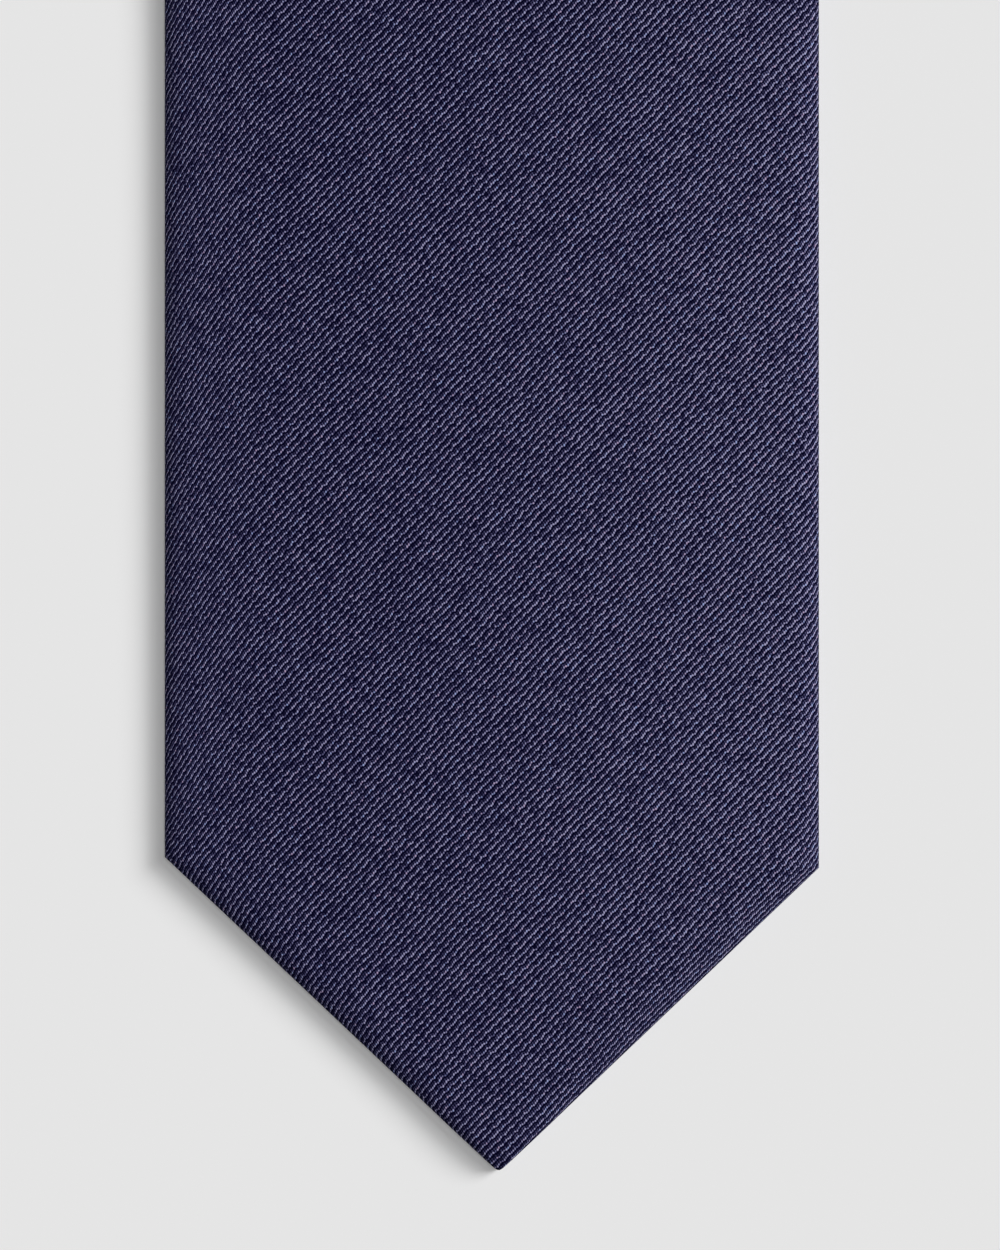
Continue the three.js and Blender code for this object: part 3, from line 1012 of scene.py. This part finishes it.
def addTippings():
    def spans(s):
        left, right = edges(s)
        return left + tipping["inset"], right - tipping["inset"]

    def heights(x, s):
        end, u = nearestEnd(s)
        start, stop = tipping["sinks"]
        sunk = smooth(end["apex"] + start, end["apex"] + stop, u)
        low = tipping["outside"] + (tipping["inside"] - tipping["outside"]) * sunk
        ripple = tipping["ripple"]
        waves = np.sin(x * ripple["across"] + s * ripple["along"])
        low = low + ripple["depth"] * waves * smooth(0, ripple["start"], u)
        return low, low + tipping["thick"]

    stations = stationsOf(tipping["start"], bladeEnd["tippingEnd"])
    front = addFlat("frontTipping", stations, spans, heights, "lining_satin", 41)
    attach(front, "blade_tip")
    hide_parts("front_tipping")
    stations = stationsOf(runs["end"] - tailEnd["tippingEnd"], runs["end"] - tipping["start"])
    tail = addFlat("tailTipping", stations, spans, heights, "lining_satin", 31)
    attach(tail, "tail_leg")
    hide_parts("tail_tipping")


print("tippings")
addTippings()


# Threads: round tubes along a row of points, several of them joined into one piece
def tube(path, radius, sides):
    path = np.asarray(path, float)
    along = np.gradient(path, axis=0)
    along /= np.linalg.norm(along, axis=1)[:, None]
    side = np.cross(along, (0.0, 0.0, 1.0))
    bare = np.linalg.norm(side, axis=1) < 1e-3
    side[bare] = np.cross(along[bare], (1.0, 0.0, 0.0))
    side /= np.linalg.norm(side, axis=1)[:, None]
    for i in range(1, len(side)):
        side[i] -= along[i] * side[i].dot(along[i])
        if side[i].dot(side[i - 1]) < 0:
            side[i] = -side[i]
        side[i] /= np.linalg.norm(side[i])
    other = np.cross(along, side)
    turn = np.arange(sides) * 2 * math.pi / sides
    ring = np.cos(turn)[None, :, None] * side[:, None] + np.sin(turn)[None, :, None] * other[:, None]
    points = (path[:, None] + radius * ring).reshape(-1, 3)
    walked = np.concatenate([[0], np.cumsum(np.linalg.norm(np.diff(path, axis=0), axis=1))])
    uv = np.stack([np.tile(turn * radius, len(path)), np.repeat(walked, sides)], axis=-1)
    faces = []
    for i in range(len(path) - 1):
        for j in range(sides):
            k = (j + 1) % sides
            faces.append((i * sides + j, i * sides + k, (i + 1) * sides + k, (i + 1) * sides + j))
    last = (len(path) - 1) * sides
    faces.append(tuple(range(sides))[::-1])
    faces.append(tuple(last + j for j in range(sides)))
    return points, uv, faces


def addThreads(name, paths, radius, sides=8):
    points, coordinates, faces = [], [], []
    for path in paths:
        shift = sum(len(part) for part in points)
        morePoints, moreUv, moreFaces = tube(path, radius, sides)
        points.append(morePoints)
        coordinates.append(moreUv)
        faces += [tuple(corner + shift for corner in face) for face in moreFaces]
    return finishPiece(name, np.concatenate(points), faces, np.concatenate(coordinates), "sewing_thread")


slip = {
    "radius": 0.07 * mm,
    "height": 0.45 * mm,
    "start": 94 * mm,
    "stop": runs["end"] - 56 * mm,
    "strays": 0.25 * mm,
    "strayRun": 5 * mm,
}
slipNodes = {
    "Blade": ["slip_stitch_tip"],
    "Front": ["slip_stitch_bend"],
    "NeckUpper": ["slip_stitch_upper"],
    "NeckFold": ["slip_stitch_fold_1"],
    "NeckLower": ["slip_stitch_fold_2"],
    "Tail": ["slip_stitch_tail"],
}


def addSlipStitch():
    for name, start, stop, zone in stretches:
        start, stop = max(start, slip["start"]), min(stop, slip["stop"])
        s = np.array(stationsOf(start, stop))
        x = slip["strays"] * np.sin(s / slip["strayRun"])
        piece = addThreads(f"slipStitch{name}", [lay(s, x, slip["height"])], slip["radius"], sides=6)
        bendWith(piece, zone)
        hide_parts(*slipNodes[name])


print("slip stitch")
addSlipStitch()

# Bar tacks: a bundle of strands over the gap where the flaps meet, bound by short turns of thread
barTacks = {
    "front": {"s": 82.6 * mm, "reach": 6.2 * mm, "radius": 0.15 * mm, "strands": 5, "binds": 15},
    "tail": {
        "s": runs["end"] - 44.6 * mm,
        "reach": 4.6 * mm,
        "radius": 0.13 * mm,
        "strands": 4,
        "binds": 11,
    },
    "below": 0.12 * mm,
    "sunkEnds": 0.5 * mm,
    "bound": 0.82,  # the part of its reach that the binding covers
    "bindDepth": 0.24 * mm,
    "bindLean": 0.12 * mm,
}


def addBarTack(name, body, node):
    tack = barTacks[name]
    t = np.linspace(-1, 1, 21)
    paths = []
    for strand in range(tack["strands"]):
        across = (strand - (tack["strands"] - 1) / 2) * tack["radius"] * 1.5
        height = -barTacks["below"] + barTacks["sunkEnds"] * np.abs(t) ** 8
        paths.append(lay(tack["s"] + across + 0 * t, t * tack["reach"] * (1 - 0.02 * strand), height))
    half = (tack["strands"] * 0.75 + 0.8) * tack["radius"]
    for bind in range(tack["binds"]):
        x = (bind / (tack["binds"] - 1) * 2 - 1) * tack["reach"] * barTacks["bound"]
        turn = np.linspace(0, 2 * math.pi, 13)
        s = tack["s"] + half * np.cos(turn)
        height = -0.1 * mm + barTacks["bindDepth"] * np.sin(turn)
        paths.append(lay(s, x + barTacks["bindLean"] * np.sin(turn + bind), height))
    piece = addThreads(f"{name}BarTack", paths, tack["radius"] * 0.8)
    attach(piece, body)
    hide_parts(node)


# The slack loop is an egg-shaped turn of thread that lies below the bar tack
slack = {
    "s": 77.2 * mm,
    "long": 4.6 * mm,
    "wide": 1.7 * mm,
    "egg": 0.35,
    "twist": 0.3 * mm,
    "height": 0.24 * mm,
    "rises": 0.06 * mm,
    "radius": 0.13 * mm,
}


def addSlackLoop():
    turn = np.linspace(-0.5 * math.pi, 1.5 * math.pi, 49)
    s = slack["s"] - slack["long"] * np.sin(turn + math.pi) + slack["twist"] * np.sin(2 * turn)
    x = slack["wide"] * np.cos(turn) * (1 - slack["egg"] * np.sin(turn))
    height = slack["height"] + slack["rises"] * np.cos(3 * turn)
    piece = addThreads("slackLoop", [lay(s, x, height)], slack["radius"])
    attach(piece, "blade_tip")
    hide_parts("slack_loop")


print("bar tacks")
addBarTack("front", "blade_tip", "front_bar_tack")
addBarTack("tail", "tail_leg", "tail_bar_tack")
addSlackLoop()

# Joining seams: a thread runs round the tie in the pressed groove
seamThread = {"radius": 0.09 * mm, "sunk": 0.03 * mm}


def addSeamThread(name, seam, body, node):
    x, h = shellLine(seam)[:2]
    nx, nh = acrossLine(x, h)
    along = seam + x
    top = np.clip((h / thickness - 0.5) * 2, 0, 1)
    raised = top * (swell(x, along) + crown(x, seam) - shell["seamDip"])
    sunk = seamThread["sunk"]
    path = lay(along, x - nx * sunk, h + raised - nh * sunk)
    piece = addThreads(name, [path], seamThread["radius"], sides=6)
    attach(piece, body)
    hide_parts(node)


print("seam threads")
addSeamThread("frontSeamThread", marks["frontSeam"], "front_leg", "front_seam_thread")
addSeamThread("tailSeamThread", marks["tailSeam"], "tail_leg", "tail_seam_thread")

# Keeper loop and labels on the wide blade's back
keeper = {
    "s": (208 * mm, 218 * mm),
    "half": 30 * mm,
    "low": 0.3 * mm,
    "arch": 0.55 * mm,
    "thick": 0.45 * mm,
    "edge": [0, 0.12 * mm, 0.3 * mm, 0.6 * mm, 1.0 * mm],  # close stations where its long edges are rolled
}
label = {
    "s": (188 * mm, 204 * mm),
    "half": 24 * mm,
    "out": 0.22 * mm,
    "pressed": 2.5 * mm,
    "thick": 0.2 * mm,
    "wave": 0.05 * mm,
}
care = {
    "s": (168 * mm, 189.5 * mm),
    "half": 12 * mm,
    "thick": 0.14 * mm,
    "low": 0.04 * mm,
    "droop": 0.3 * mm,
    "curl": 0.12 * mm,
    "flatFrom": 184 * mm,
    "closeFrom": 183 * mm,
    "bend": (187.4 * mm, 184.6 * mm),
    "bendHeight": -0.1 * mm,
}
stitch = {
    "keeper": (8, 0.5 * mm),  # how many, and how far out from the cloth
    "label": (12, 0.3 * mm),
    "reach": 1.1 * mm,
    "lean": 0.25 * mm,
    "proud": 0.06 * mm,
    "into": 0.2 * mm,
    "inset": 0.7 * mm,
    "radius": 0.11 * mm,
}


def addKeeper():
    def spans(s):
        return -keeper["half"], keeper["half"]

    def heights(x, s):
        across = x / keeper["half"]
        lift = keeper["arch"] * (1 - across ** 2)
        start, stop = keeper["s"]
        along = (2 * s - start - stop) / (stop - start)
        roll = keeper["thick"] / 2 * (1 - (1 - abs(along) ** 6) ** 0.5) * 0.7
        high = -keeper["low"] * (1 - across ** 8) - lift
        return high - keeper["thick"] + roll, high - roll

    start, stop = keeper["s"]
    edge = np.array(keeper["edge"])
    stations = [*(start + edge), *np.linspace(start + 2 * mm, stop - 2 * mm, 6), *(stop - edge[::-1])]
    piece = addFlat("keeperLoop", stations, spans, heights, "silk_twill", 61)
    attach(piece, "blade_bend")
    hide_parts("keeper_loop")


def addLabel():
    def spans(s):
        return -label["half"], label["half"]

    def heights(x, s):
        pressed = smooth(label["half"] - label["pressed"], label["half"], np.abs(x))
        start, stop = label["s"]
        waved = label["wave"] * np.sin(x * 260) * np.sin((s - start) / (stop - start) * math.pi)
        high = -label["out"] * (1 - pressed * 0.8) + waved
        return high - label["thick"], high

    stations = list(np.linspace(*label["s"], 17))
    piece = addFlat("blankLabel", stations, spans, heights, "label_ribbon", 61)
    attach(piece, "blade_bend")
    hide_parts("blank_label")


def addCareLabel():
    start, stop = care["s"]

    def spans(s):
        return -care["half"], care["half"]

    def heights(x, s):
        free = 1 - smooth(start, care["flatFrom"], s)
        high = -care["low"] - free * (care["droop"] + care["curl"] * (x / care["half"]) ** 2)
        return high - care["thick"], high

    plain = np.linspace(start, care["closeFrom"], 11)
    stations = [*plain, *np.linspace(care["closeFrom"] + 0.5 * mm, stop, 13)]
    piece = addFlat("careLabel", stations, spans, heights, "care_ribbon")
    still, swung = (tuple(lay(s, 0.0, care["bendHeight"])) for s in care["bend"])
    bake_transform(piece)
    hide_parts("care_label")


def addEndStitches(kind, piece, side, sign, node):
    start, stop = piece["s"]
    x = sign * (piece["half"] - stitch["inset"])
    count, out = stitch[kind]
    t = np.linspace(-1, 1, 9)
    height = -out - stitch["proud"] + (out + stitch["into"]) * np.abs(t) ** 5
    paths = []
    for i in range(count):
        s = start + (i + 0.5) * (stop - start) / count
        paths.append(lay(s + stitch["lean"] * t, x + stitch["reach"] * t, height))
    stitches = addThreads(f"{kind}Stitches{side}", paths, stitch["radius"])
    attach(stitches, "blade_bend")
    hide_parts(f"{node}_{side}")


print("keeper loop and labels")
addKeeper()
addLabel()
addCareLabel()
for side, sign in (("left", -1), ("right", 1)):
    addEndStitches("keeper", keeper, side, sign, "keeper_loop_stitch")
    addEndStitches("label", label, side, sign, "blank_label_stitch")
